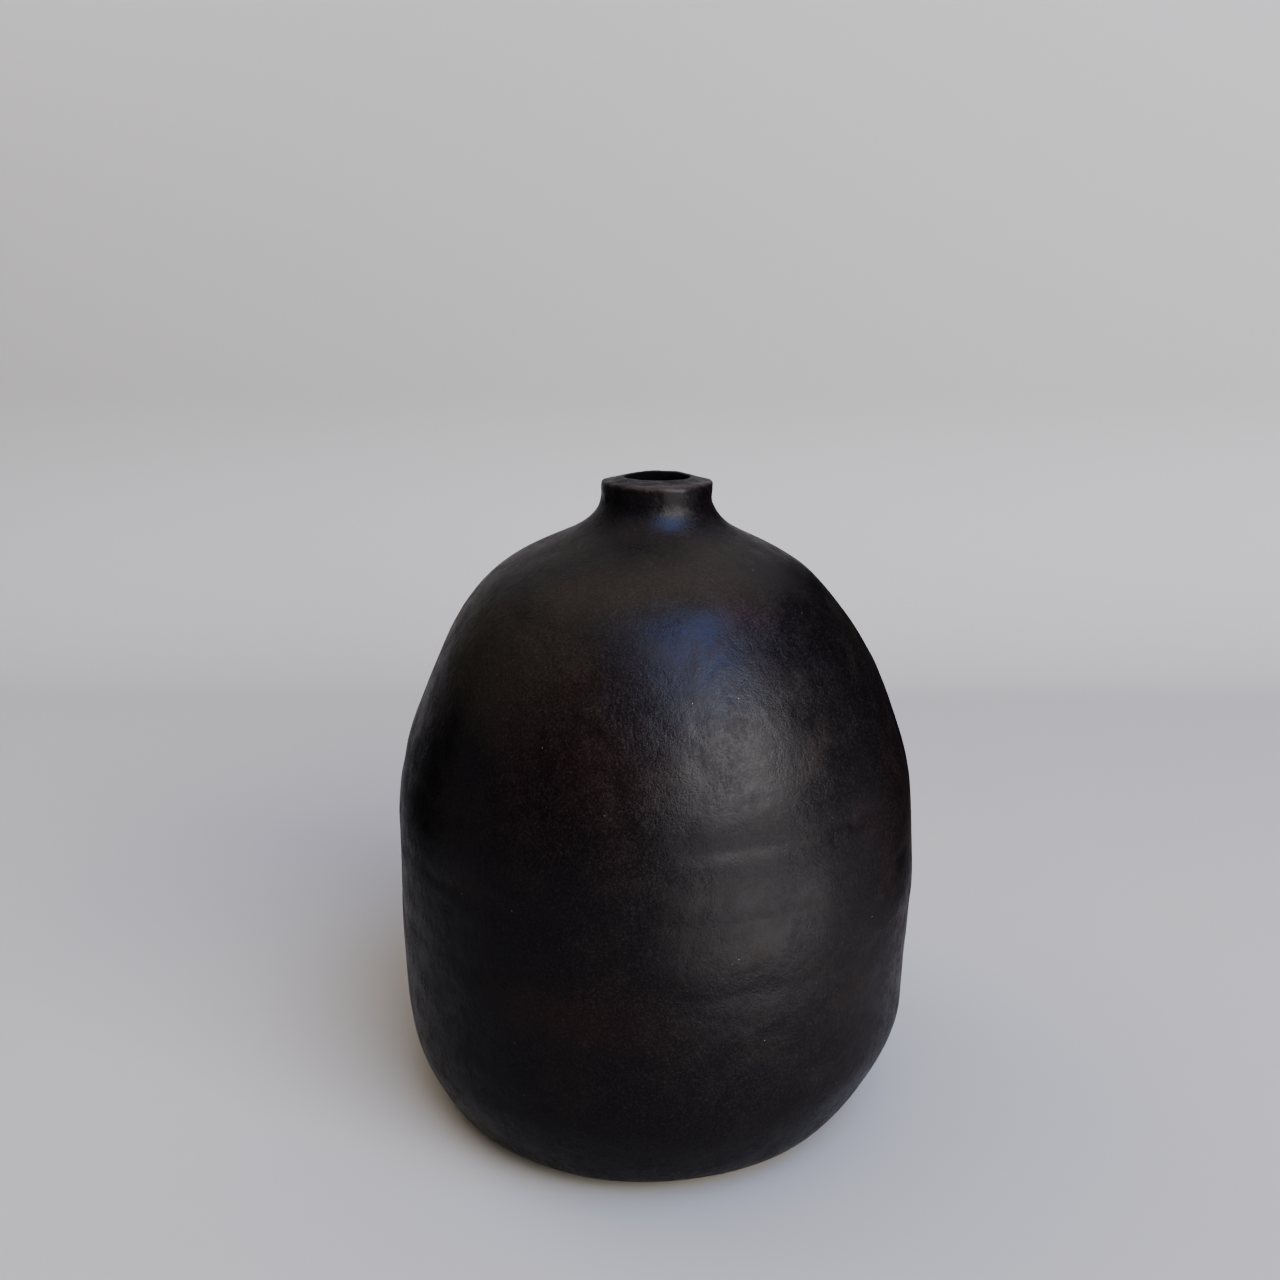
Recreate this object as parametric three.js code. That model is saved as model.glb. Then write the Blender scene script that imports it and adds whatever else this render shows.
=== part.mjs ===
// Round-bellied jar of smoke-fired black clay with a narrow neck, built up by hand in courses.
// A dished base slab carries nine rolled courses, a neck collar and a folded lip coil.
// Every joint is a scarf: its outer edge stands higher than its inner edge, and the thin seam
// between the two pieces is the slip that sticks them together.
// Millimetres, +Z up. The origin is on the ground, on the belly's axis. The front is -Y.

import * as THREE from "three";

// ---------- Driving dimensions ----------

const SEGMENTS = 48; // facets round the jar
const WALL_STEP = 9; // length of a facet up the wall
const NECK_STEP = 5; // the same where the neck curves in
const LIP_STEP = 2.5; // the same over the lip
const FOOT_RADIUS = 62; // flat that the jar stands on

// The outside, from the edge of the foot over the belly and neck to the mouth: [radius, height].
const OUTSIDE = [
  [FOOT_RADIUS, 0],
  [75, 0],
  [91.6, 2.5],
  [99.1, 9],
  [106, 22],
  [114, 42],
  [114.2, 68],
  [115.4, 98],
  [114.8, 130],
  [112.4, 160],
  [102.5, 188],
  [92, 211],
  [80, 229],
  [68.2, 243],
  [50, 253],
  [32.7, 260],
  [25.6, 267],
  [23, 273],
  [24, 278.2],
  [23.4, 280.9],
  [19.5, 280.6],
  [15.5, 281.6],
  [12.6, 282.2],
  [11.3, 281],
];

// Wall thickness by height: a thick base, an even belly and a heavy neck.
const WALL = [
  [0, 9.5],
  [30, 8.5],
  [80, 7],
  [200, 7],
  [240, 8.5],
  [262, 12],
];
const MOUTH_RADIUS = 10.6;
const MOUTH_ROUNDING = 1.5; // how far down the mouth its edge rolls over

// Height of each joint's outer edge, and how far its inner edge lies down the wall from there.
const JOINTS = [16, 44, 72, 101, 131, 160, 184, 210, 234, 253, 267];
const SCARF_DROP = 6;
const SLIP = 0.4; // width of the seam of slip, measured along the wall

// The jar was turned by hand, so its centre wanders sideways with height: [height, offset in x].
const LEAN = [
  [0, -3],
  [22, -1.8],
  [50, 0],
  [110, 0.6],
  [200, 0.2],
  [235, -1.5],
  [252, -0.8],
  [270, 0.6],
  [280, 0.8],
];

// Flats and swells that the hand left in the wall. Azimuth is in degrees from the front towards +X.
const HAND_MARKS = [
  { azimuth: -88, height: 192, wide: 36, tall: 14, depth: -0.6 },
  { azimuth: 85, height: 160, wide: 28, tall: 8, depth: 0.5 },
  { azimuth: 80, height: 110, wide: 30, tall: 12, depth: 0.6 },
  { azimuth: -78, height: 115, wide: 34, tall: 13, depth: -0.6 },
  { azimuth: 92, height: 249, wide: 50, tall: 8, depth: -0.8 },
  { azimuth: 80, height: 46, wide: 36, tall: 16, depth: 0.6 },
  { azimuth: 150, height: 140, wide: 34, tall: 22, depth: -0.8 },
  { azimuth: -145, height: 90, wide: 30, tall: 18, depth: 0.6 },
  { azimuth: -170, height: 205, wide: 40, tall: 14, depth: -0.6 },
];

// The mouth is oval and lies nearer the back: how much its radius changes once and twice round.
const MOUTH_BACKWARD = 2.5;
const MOUTH_OVAL = 1.8;
const MOUTH_INNER = 13; // within this radius the clay follows the mouth
const MOUTH_OUTER = 22; // beyond this radius it follows the outside

const CLAY = { color: 0x1c1815, roughness: 0.42, metalness: 0 };

const COURSES = [
  "heel_course",
  "lower_wall_course",
  "lower_belly_course",
  "belly_course",
  "upper_belly_course",
  "lower_shoulder_course",
  "shoulder_course",
  "upper_shoulder_course",
  "closing_course",
];

// ---------- Curves ----------

// A uniform cubic B-spline. Its end points are repeated, so it starts and ends on them.
class SmoothOutline extends THREE.Curve {
  constructor(points) {
    super();
    const first = points[0];
    const last = points[points.length - 1];
    this.controls = [first, first, ...points, last, last];
    this.arcLengthDivisions = 2000;
  }

  getPoint(t, target = new THREE.Vector2()) {
    const spans = this.controls.length - 3;
    const span = Math.min(Math.floor(t * spans), spans - 1);
    const f = t * spans - span;
    const weights = [
      (1 - f) ** 3,
      3 * f ** 3 - 6 * f ** 2 + 4,
      -3 * f ** 3 + 3 * f ** 2 + 3 * f + 1,
      f ** 3,
    ];
    target.set(0, 0);
    weights.forEach((weight, i) => {
      const [radius, height] = this.controls[span + i];
      target.x += (weight * radius) / 6;
      target.y += (weight * height) / 6;
    });
    return target;
  }
}

const outside = new SmoothOutline(OUTSIDE);
const OUTSIDE_LENGTH = outside.getLength();

// A value from a short table, eased smoothly from one listed height to the next.
function eased(table, height) {
  const next = table.findIndex(([listed]) => listed > height);
  if (next === -1) return table[table.length - 1][1];
  if (next === 0) return table[0][1];
  const [lowHeight, low] = table[next - 1];
  const [highHeight, high] = table[next];
  return low + (high - low) * THREE.MathUtils.smoothstep(height, lowHeight, highHeight);
}

// How far along the outside a height is reached, in millimetres from the edge of the foot.
function lengthAtHeight(height) {
  let low = 0;
  let high = OUTSIDE_LENGTH;
  while (high - low > 0.001) {
    const middle = (low + high) / 2;
    if (outside.getPointAt(middle / OUTSIDE_LENGTH).y < height) low = middle;
    else high = middle;
  }
  return low;
}

const outerPoint = (length) => outside.getPointAt(length / OUTSIDE_LENGTH);

// The point on the inside, straight through the wall from a point on the outside.
function innerPoint(length) {
  const point = outerPoint(length);
  const tangent = outside.getTangentAt(length / OUTSIDE_LENGTH);
  const wall = eased(WALL, point.y);
  return new THREE.Vector2(point.x - wall * tangent.y, point.y + wall * tangent.x);
}

// Points from one length to another, both ends included, about one every step.
function stretch(pointAt, from, to, step) {
  const steps = Math.max(2, Math.round(Math.abs(to - from) / step));
  return Array.from({ length: steps + 1 }, (_, i) => pointAt(from + ((to - from) * i) / steps));
}

// ---------- The hand's work ----------

function handMark(azimuth, height) {
  return HAND_MARKS.reduce((total, mark) => {
    const turn = THREE.MathUtils.euclideanModulo(azimuth - mark.azimuth + 180, 360) - 180;
    const spread = (turn / mark.wide) ** 2 + ((height - mark.height) / mark.tall) ** 2;
    return total + mark.depth * Math.exp(-spread);
  }, 0);
}

function mouthShift(azimuth, radius) {
  const turn = THREE.MathUtils.degToRad(azimuth);
  const follows = 1 - THREE.MathUtils.smoothstep(radius, MOUTH_INNER, MOUTH_OUTER);
  return -follows * (MOUTH_BACKWARD * Math.cos(turn) + MOUTH_OVAL * Math.cos(2 * turn));
}

// Turns a true body of revolution into the hand-made one, in place.
function shapeByHand(geometry, hasMouth) {
  const position = geometry.getAttribute("position");
  const point = new THREE.Vector3();
  for (let i = 0; i < position.count; i += 1) {
    point.fromBufferAttribute(position, i);
    const radius = Math.hypot(point.x, point.y);
    const azimuth = THREE.MathUtils.radToDeg(Math.atan2(point.x, -point.y));
    const mark = handMark(azimuth, point.z) * Math.min(1, radius / FOOT_RADIUS);
    const shift = hasMouth ? mouthShift(azimuth, radius) : 0;
    const scale = radius > 0 ? (radius + mark + shift) / radius : 1;
    position.setXYZ(i, point.x * scale + eased(LEAN, point.z), point.y * scale, point.z);
  }
  geometry.computeVertexNormals();
}

// ---------- Pieces ----------

// Revolves a section round the jar's axis. The section runs up the outside and down the inside.
function revolve(name, section, hasMouth = false) {
  const geometry = new THREE.LatheGeometry(section, SEGMENTS).rotateX(Math.PI / 2);
  shapeByHand(geometry, hasMouth);
  const mesh = new THREE.Mesh(geometry, new THREE.MeshStandardMaterial(CLAY));
  mesh.name = name;
  return mesh;
}

// The two edges of a joint: the piece below it ends at one and the piece above starts at the other.
const joints = JOINTS.map((height) => {
  const middle = lengthAtHeight(height);
  return { below: middle - SLIP / 2, above: middle + SLIP / 2 };
});

function makeBaseSlab(top) {
  const underside = [new THREE.Vector2(0, 0), new THREE.Vector2(FOOT_RADIUS / 2, 0)];
  const outer = stretch(outerPoint, 0, top, WALL_STEP);
  const inner = stretch(innerPoint, top - SCARF_DROP, 0, WALL_STEP);
  const floor = [new THREE.Vector2(FOOT_RADIUS / 2, WALL[0][1]), new THREE.Vector2(0, WALL[0][1])];
  return revolve("base_slab", [...underside, ...outer, ...inner, ...floor]);
}

function makeCourse(name, bottom, top, step = WALL_STEP, hasMouth = false) {
  const outer = stretch(outerPoint, bottom, top, step);
  const inner = stretch(innerPoint, top - SCARF_DROP, bottom - SCARF_DROP, step);
  return revolve(name, [...outer, ...inner, outer[0].clone()], hasMouth);
}

// The lip is a coil folded over the collar's edge, so its section rolls over into the mouth.
function makeLipCoil(bottom) {
  const over = stretch(outerPoint, bottom, OUTSIDE_LENGTH, LIP_STEP);
  const mouthEdge = over[over.length - 1];
  const throatFoot = innerPoint(bottom - SCARF_DROP);
  const throat = [
    new THREE.Vector2(MOUTH_RADIUS, mouthEdge.y - MOUTH_ROUNDING),
    new THREE.Vector2(MOUTH_RADIUS, (mouthEdge.y + throatFoot.y) / 2),
  ];
  return revolve("lip_coil", [...over, ...throat, throatFoot, over[0].clone()], true);
}

const pot = new THREE.Group();
pot.name = "black_clay_pot";
pot.add(makeBaseSlab(joints[0].below));
COURSES.forEach((name, i) => {
  pot.add(makeCourse(name, joints[i].above, joints[i + 1].below));
});
const [neckFoot, neckTop] = joints.slice(COURSES.length);
pot.add(makeCourse("neck_collar", neckFoot.above, neckTop.below, NECK_STEP, true));
pot.add(makeLipCoil(neckTop.above));

export default pot;
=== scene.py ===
"""Hand-built jar of smoke-fired black clay, modelled finely, dressed and lit in a plain studio.

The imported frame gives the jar's size and where its clay pieces meet. Each piece is revolved from its own
section of the wall, shaped by the marks that the hand left, and finished as burnished earthenware outside
and scraped earthenware inside. Shape is worked out in millimetres and handed to Blender in metres.
"""

import logging
import math
from collections import defaultdict
from dataclasses import dataclass, field, replace
from enum import Enum, IntEnum
from typing import Any

import bmesh
import bpy
import numpy as np
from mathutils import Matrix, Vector, noise


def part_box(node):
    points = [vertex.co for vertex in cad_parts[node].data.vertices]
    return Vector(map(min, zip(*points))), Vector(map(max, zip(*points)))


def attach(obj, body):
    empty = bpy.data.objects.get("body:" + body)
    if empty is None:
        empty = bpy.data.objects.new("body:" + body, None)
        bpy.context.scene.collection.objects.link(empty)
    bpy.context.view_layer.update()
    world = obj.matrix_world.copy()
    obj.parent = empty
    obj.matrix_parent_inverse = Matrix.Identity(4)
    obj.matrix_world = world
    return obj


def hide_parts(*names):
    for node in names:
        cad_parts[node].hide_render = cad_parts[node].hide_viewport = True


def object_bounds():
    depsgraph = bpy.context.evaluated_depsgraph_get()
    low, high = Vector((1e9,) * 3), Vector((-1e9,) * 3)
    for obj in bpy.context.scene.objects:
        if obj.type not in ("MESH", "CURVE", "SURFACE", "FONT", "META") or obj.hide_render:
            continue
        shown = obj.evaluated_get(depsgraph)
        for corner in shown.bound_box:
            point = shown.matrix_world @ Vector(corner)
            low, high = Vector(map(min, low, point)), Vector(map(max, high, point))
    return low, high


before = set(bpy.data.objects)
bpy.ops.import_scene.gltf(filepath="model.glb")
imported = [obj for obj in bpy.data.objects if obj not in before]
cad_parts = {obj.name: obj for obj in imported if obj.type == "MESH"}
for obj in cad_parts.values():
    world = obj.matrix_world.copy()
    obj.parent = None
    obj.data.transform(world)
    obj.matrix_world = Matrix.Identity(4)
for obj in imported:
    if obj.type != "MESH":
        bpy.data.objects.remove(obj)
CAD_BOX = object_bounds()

LOG = logging.getLogger("black_clay_jar")
MM = 0.001
SPIN_STEPS = 60
CUTS_PER_STEP = 7
STEPS_ROUND = SPIN_STEPS * (CUTS_PER_STEP + 1)
AXIS_REACH = 1e-4  # millimetres
MERGE_REACH = 1e-3  # millimetres
NOISE_MIDDLE = 0.5

Socket = bpy.types.NodeSocket
Colour = tuple[float, float, float]
Joint = tuple[int, float]  # its number, and its length along the outline in millimetres
Seams = defaultdict[tuple[int, int], Vector]  # normals by joint and step round the jar


class Slot(Enum):
    """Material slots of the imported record."""

    BURNISHED_CLAY = "burnished_clay"


class LightShape(Enum):
    """Shapes of an area light's face."""

    RECTANGLE = "RECTANGLE"
    DISK = "DISK"


class Zone(IntEnum):
    """Which side of a clay piece a facet lies on. The values are the piece's material slots in order."""

    OUTSIDE = 0
    INSIDE = 1
    JOINT = 2


# ---------------------------------------------------------------- shape of the wall


def smoothstep(low: float, high: float, value: Any) -> Any:
    """Eases from 0 at low to 1 at high, for one value or an array of them."""
    share = np.clip((value - low) / (high - low), 0.0, 1.0)
    return share * share * (3.0 - 2.0 * share)


def noise_at(places: np.ndarray) -> np.ndarray:
    """Smooth noise between about -1 and 1 at each row of an array of places."""
    return np.array([noise.noise(place) for place in places.tolist()])


def bell(away: Any) -> Any:
    """1 at 0, fading smoothly to both sides with a reach of about 1."""
    return np.exp(-np.square(away))


@dataclass(frozen=True)
class Eased:
    """A value that eases from one listed height to the next."""

    points: tuple[tuple[float, float], ...]

    def at(self, height: Any) -> Any:
        """The value at a height in millimetres, or at each of an array of them.

        Args:
            height: one height or an array of them, in millimetres.

        Returns:
            The value or values.
        """
        heights, values = np.array(self.points).T
        number = np.clip(np.searchsorted(heights, height, side="right") - 1, 0, len(heights) - 2)
        share = smoothstep(heights[number], heights[number + 1], height)
        return values[number] + (values[number + 1] - values[number]) * share


@dataclass(frozen=True)
class WallPoint:
    """A point of a piece's section.

    Attributes:
        radius: distance from the jar's axis, in millimetres.
        height: height above the ground, in millimetres.
        tilt: angle of the surface's normal above the horizontal, in radians.
        depth: 0 on the outside of the wall and 1 on the inside.
        zone: the side that the facet from this point to the next lies on.
        lip: how much this point belongs to the rolled lip, from 0 to 1.
    """

    radius: float
    height: float
    tilt: float
    depth: float
    zone: Zone
    lip: float = 0.0


@dataclass
class Outline:
    """The outside of the jar from the foot's edge over the belly and neck into the mouth.

    It is a uniform cubic B-spline through its own end points, with the wall's thickness beside it.
    Measures are in millimetres.

    Attributes:
        foot_radius: radius of the flat foot.
        nudge: half the length over which a normal is measured.
        controls: the spline's control points, as radius and height.
        wall: the wall's thickness by height.
        steps_per_span: how many samples each span of the spline gets.
        radii, heights, lengths: the samples, and how far along the outline each one lies.
    """

    foot_radius: float = 62.0
    nudge: float = 0.05
    controls: tuple[tuple[float, float], ...] = (
        (62.0, 0.0), (75.0, 0.0), (91.6, 2.5), (99.1, 9.0), (106.0, 22.0), (114.0, 42.0),
        (114.2, 68.0), (115.4, 98.0), (114.8, 130.0), (112.4, 160.0), (102.5, 188.0),
        (92.0, 211.0), (80.0, 229.0), (68.2, 243.0), (50.0, 253.0), (32.7, 260.0),
        (25.6, 267.0), (23.0, 273.0), (24.0, 278.2), (23.4, 280.9), (19.5, 280.6), (15.5, 281.6),
        (12.6, 282.2), (11.3, 281.0),
    )
    wall: Eased = Eased(((0.0, 9.5), (30.0, 8.5), (80.0, 7.0), (200.0, 7.0), (240.0, 8.5), (262.0, 12.0)))
    steps_per_span: int = 200
    radii: np.ndarray = field(init=False)
    heights: np.ndarray = field(init=False)
    lengths: np.ndarray = field(init=False)

    def __post_init__(self) -> None:
        """Samples the curve finely and measures it."""
        points = np.array(self.controls[:1] * 2 + self.controls + self.controls[-1:] * 2)
        share = np.arange(self.steps_per_span) / self.steps_per_span
        weights = np.stack([
            (1.0 - share) ** 3,
            3.0 * share ** 3 - 6.0 * share ** 2 + 4.0,
            -3.0 * share ** 3 + 3.0 * share ** 2 + 3.0 * share + 1.0,
            share ** 3,
        ], axis=1) / 6.0
        spans = [weights @ points[i:i + 4] for i in range(len(points) - 3)]
        curve = np.concatenate(spans + [points[-1:]])
        self.radii, self.heights = curve[:, 0], curve[:, 1]
        strides = np.hypot(np.diff(self.radii), np.diff(self.heights))
        self.lengths = np.concatenate([[0.0], np.cumsum(strides)])

    @property
    def length(self) -> float:
        """Length of the whole outline, in millimetres."""
        return float(self.lengths[-1])

    def length_at(self, height: float) -> float:
        """How far along the outline a height is first reached."""
        top = int(self.heights.argmax())
        return float(np.interp(height, self.heights[:top], self.lengths[:top]))

    def outer(self, length: float) -> tuple[float, float, float]:
        """Radius, height and the normal's tilt on the outside, a given way along the outline.

        Args:
            length: how far along the outline, in millimetres.

        Returns:
            Radius and height in millimetres, and tilt in radians.
        """
        ends = [min(max(length + step, 0.0), self.length) for step in (-self.nudge, self.nudge)]
        rise = np.subtract(*np.interp(ends, self.lengths, self.heights)[::-1])
        run = np.subtract(*np.interp(ends, self.lengths, self.radii)[::-1])
        radius = float(np.interp(length, self.lengths, self.radii))
        height = float(np.interp(length, self.lengths, self.heights))
        return radius, height, math.atan2(-run, rise)

    def inner(self, length: float) -> tuple[float, float, float]:
        """The point straight through the wall from the outside, with its normal's tilt.

        Args:
            length: how far along the outline, in millimetres.

        Returns:
            Radius and height in millimetres, and tilt in radians.
        """
        radius, height, tilt = self.outer(length)
        thickness = self.wall.at(height)
        inner_radius = radius - thickness * math.cos(tilt)
        inner_height = height - thickness * math.sin(tilt)
        return inner_radius, inner_height, tilt


@dataclass(frozen=True)
class Patch:
    """A soft-edged patch of the wall, such as a flat that the hand left or a cloud from the fire.

    Attributes:
        azimuth: where it lies, in degrees from the front towards +X.
        height: its height above the ground, in millimetres.
        wide: how far it spreads round the jar, in degrees.
        tall: how far it spreads up and down, in millimetres.
        amount: its strength at its middle. For a mark it is how far the wall stands out, in millimetres.
    """

    azimuth: float
    height: float
    wide: float
    tall: float
    amount: float

    def at(self, azimuth: np.ndarray, height: np.ndarray) -> np.ndarray:
        """The patch's strength at each place.

        Args:
            azimuth: in degrees from the front towards +X.
            height: in millimetres.

        Returns:
            An array of strengths.
        """
        turn = (azimuth - self.azimuth + 180.0) % 360.0 - 180.0
        return self.amount * bell(turn / self.wide) * bell((height - self.height) / self.tall)


@dataclass(frozen=True)
class CourseCrease:
    """The faint valley that two swelling courses leave where they were pressed together.

    Attributes:
        height: the joint's height, in millimetres.
        depth: how deep the valley is, in millimetres.
        spread: how far it fades above and below, in millimetres.
        wander: how far it strays up and down round the jar, in millimetres.
        waves: how often it strays, and how often it comes and goes, round the jar.
        bluntness: how rounded its bottom is, as a share of the spread.
        reach: how many spreads away it is still felt.
        gone_at, full_at: the noise at which the valley is gone, and at which it is at its full depth.
        apart: how far from the noise of its straying the noise of its coming and going is read.
    """

    height: float
    depth: float
    spread: float = 5.5
    wander: float = 1.6
    waves: float = 1.9
    bluntness: float = 0.35
    reach: float = 4.0
    gone_at: float = -0.6
    full_at: float = 0.3
    apart: float = 5.0

    def at(self, azimuth: np.ndarray, height: np.ndarray) -> np.ndarray:
        """How far the wall stands out at each place, which is nowhere above 0.

        Args:
            azimuth: in degrees from the front towards +X.
            height: in millimetres.

        Returns:
            An array in millimetres.
        """
        near = np.abs(height - self.height) < self.reach * self.spread
        turns = np.radians(azimuth[near])
        level = np.full_like(turns, self.height)
        places = np.stack([self.waves * np.sin(turns), self.waves * np.cos(turns), level], axis=1)
        strays = self.wander * noise_at(places)
        away = np.hypot((height[near] - self.height - strays) / self.spread, self.bluntness)
        pressed = smoothstep(self.gone_at, self.full_at, noise_at(places + self.apart))
        proud = np.zeros_like(height)
        proud[near] = -self.depth * pressed * np.exp(self.bluntness - away)
        return proud


@dataclass(frozen=True)
class Relief:
    """Unevenness of one size.

    Attributes:
        size: distance from one rise to the next, in millimetres.
        proud: how far it stands out, in millimetres.
        flatten: how much shorter it is up and down than round the jar.
    """

    size: float
    proud: float
    flatten: float = 1.0

    def at(self, places: np.ndarray) -> np.ndarray:
        """How far it moves the surface at each place in millimetres."""
        return self.proud * noise_at(places * (1.0, 1.0, self.flatten) / self.size)


@dataclass(frozen=True)
class HandWork:
    """Everything that makes the turned form a hand-made one. Measures are in millimetres.

    Attributes:
        lean: how far the jar's centre wanders sideways at each height.
        marks: flats and swells of the wall.
        outside, inside, rolled_lip: unevenness of the three kinds of skin, coarse to fine.
        mouth_backward, mouth_oval: how much the mouth's radius changes once and twice round.
        mouth_inner, mouth_outer: radii within which the clay follows the mouth, and beyond which it doesn't.
        back_rim_rise, back_rim_wide: how much higher the mouth's back edge is, and over how many degrees.
        rim_low, rim_high: heights between which that rise sets in.
        flat_foot: height at which the outside has its full unevenness, which the foot has none of.
        marks_full, relief_full: radii at which marks and unevenness are full. They fade towards the axis.
    """

    lean: Eased = Eased((
        (0.0, -3.0), (22.0, -1.8), (50.0, 0.0), (110.0, 0.6), (200.0, 0.2),
        (235.0, -1.5), (252.0, -0.8), (270.0, 0.6), (280.0, 0.8),
    ))
    marks: tuple[Patch, ...] = (
        Patch(-88.0, 192.0, 36.0, 14.0, -0.6),
        Patch(85.0, 160.0, 28.0, 8.0, 0.5),
        Patch(80.0, 110.0, 30.0, 12.0, 0.6),
        Patch(-78.0, 115.0, 34.0, 13.0, -0.6),
        Patch(92.0, 249.0, 50.0, 8.0, -0.8),
        Patch(80.0, 46.0, 36.0, 16.0, 0.6),
        Patch(150.0, 140.0, 34.0, 22.0, -0.8),
        Patch(-145.0, 90.0, 30.0, 18.0, 0.6),
        Patch(-170.0, 205.0, 40.0, 14.0, -0.6),
    )
    outside: tuple[Relief, ...] = (
        Relief(46.0, 0.35, 1.3),
        Relief(17.0, 0.12, 1.6),
        Relief(7.0, 0.045, 1.5),
        Relief(3.2, 0.018),
    )
    inside: tuple[Relief, ...] = (Relief(30.0, 0.6, 2.5), Relief(9.0, 0.35, 2.0))
    rolled_lip: tuple[Relief, ...] = (Relief(15.0, 0.8), Relief(5.5, 0.3), Relief(2.2, 0.1))
    mouth_backward: float = 2.5
    mouth_oval: float = 1.8
    mouth_inner: float = 13.0
    mouth_outer: float = 22.0
    back_rim_rise: float = 0.4
    back_rim_wide: float = 40.0
    rim_low: float = 272.0
    rim_high: float = 279.0
    flat_foot: float = 6.0
    marks_full: float = 62.0
    relief_full: float = 8.0

    def mouth_shift(self, azimuth: np.ndarray, radius: np.ndarray) -> np.ndarray:
        """How far clay near the mouth moves from its round place, as the mouth is oval and off centre.

        Args:
            azimuth: in degrees from the front towards +X.
            radius: in millimetres.

        Returns:
            An array in millimetres, outwards.
        """
        turn = np.radians(azimuth)
        follows = 1.0 - smoothstep(self.mouth_inner, self.mouth_outer, radius)
        return -follows * (self.mouth_backward * np.cos(turn) + self.mouth_oval * np.cos(2.0 * turn))

    def relief(self, clay: "Clay", places: np.ndarray) -> np.ndarray:
        """How far the surface stands out along its normal, in millimetres.

        Args:
            clay: the piece's vertices.
            places: where they lie before this, in millimetres.

        Returns:
            An array in millimetres.
        """
        outer = sum(layer.at(places) for layer in self.outside)
        outer = outer * smoothstep(0.0, self.flat_foot, clay.height) * (1.0 - clay.depth)
        inner = np.zeros_like(outer)
        scraped = clay.depth > 0.0
        inner[scraped] = -sum(layer.at(places[scraped]) for layer in self.inside)
        rolled = np.zeros_like(outer)
        lip = clay.lip > 0.0
        if lip.any():
            rolled[lip] = sum(layer.at(places[lip]) for layer in self.rolled_lip)
        return outer + inner * clay.depth * (1.0 - clay.lip) + rolled * clay.lip

    def back_rim(self, clay: "Clay") -> np.ndarray:
        """How much higher the mouth's back edge stands than the rest of the lip.

        Args:
            clay: the piece's vertices.

        Returns:
            An array in millimetres.
        """
        back = bell((np.abs(clay.azimuth) - 180.0) / self.back_rim_wide)
        inner_edge = 1.0 - smoothstep(self.mouth_inner, self.mouth_outer, clay.radius)
        crest = smoothstep(self.rim_low, self.rim_high, clay.height)
        return self.back_rim_rise * back * inner_edge * crest * clay.lip

    def places(self, clay: "Clay", creases: tuple[CourseCrease, ...], neck: bool) -> np.ndarray:
        """Where every vertex of a piece ends up.

        Args:
            clay: the piece's vertices before the hand has touched them.
            creases: the valleys along the joints.
            neck: whether the piece has the mouth through it.

        Returns:
            A row of x, y and z in millimetres for each vertex.
        """
        marks = sum(mark.at(clay.azimuth, clay.height) for mark in self.marks)
        radius = clay.radius + marks * np.minimum(1.0, clay.radius / self.marks_full)
        if neck:
            radius = radius + self.mouth_shift(clay.azimuth, clay.radius)
        turn = np.radians(clay.azimuth)
        round_places = np.stack([radius * np.sin(turn), -radius * np.cos(turn), clay.height], axis=1)
        proud = self.relief(clay, round_places) * np.minimum(1.0, clay.radius / self.relief_full)
        creased = sum(crease.at(clay.azimuth, clay.height) for crease in creases)
        proud = proud + creased * (1.0 - clay.depth)
        radius = radius + proud * np.cos(clay.tilt)
        height = clay.height + proud * np.sin(clay.tilt) + self.back_rim(clay)
        x = radius * np.sin(turn) + self.lean.at(clay.height)
        return np.stack([x, -radius * np.cos(turn), np.maximum(height, 0.0)], axis=1)


@dataclass
class Clay:
    """The vertices of a piece as arrays: where each lies on the turned form, before the hand's work.

    Attributes:
        azimuth: in degrees from the front towards +X, from -180 to 180.
        radius, height, tilt, depth, lip: as in WallPoint.
    """

    azimuth: np.ndarray
    radius: np.ndarray
    height: np.ndarray
    tilt: np.ndarray
    depth: np.ndarray
    lip: np.ndarray

    @classmethod
    def of(cls, section: list["WallPoint"], points: np.ndarray, steps: np.ndarray) -> "Clay":
        """Looks up each vertex.

        Args:
            section: the piece's section.
            points: the number of each vertex's point in the section.
            steps: each vertex's step round the jar.

        Returns:
            The vertices' arrays.
        """
        azimuth = (steps * 360.0 / STEPS_ROUND + 180.0) % 360.0 - 180.0
        table = np.array([(p.radius, p.height, p.tilt, p.depth, p.lip) for p in section])
        return cls(azimuth, *table[points].T)


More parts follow.
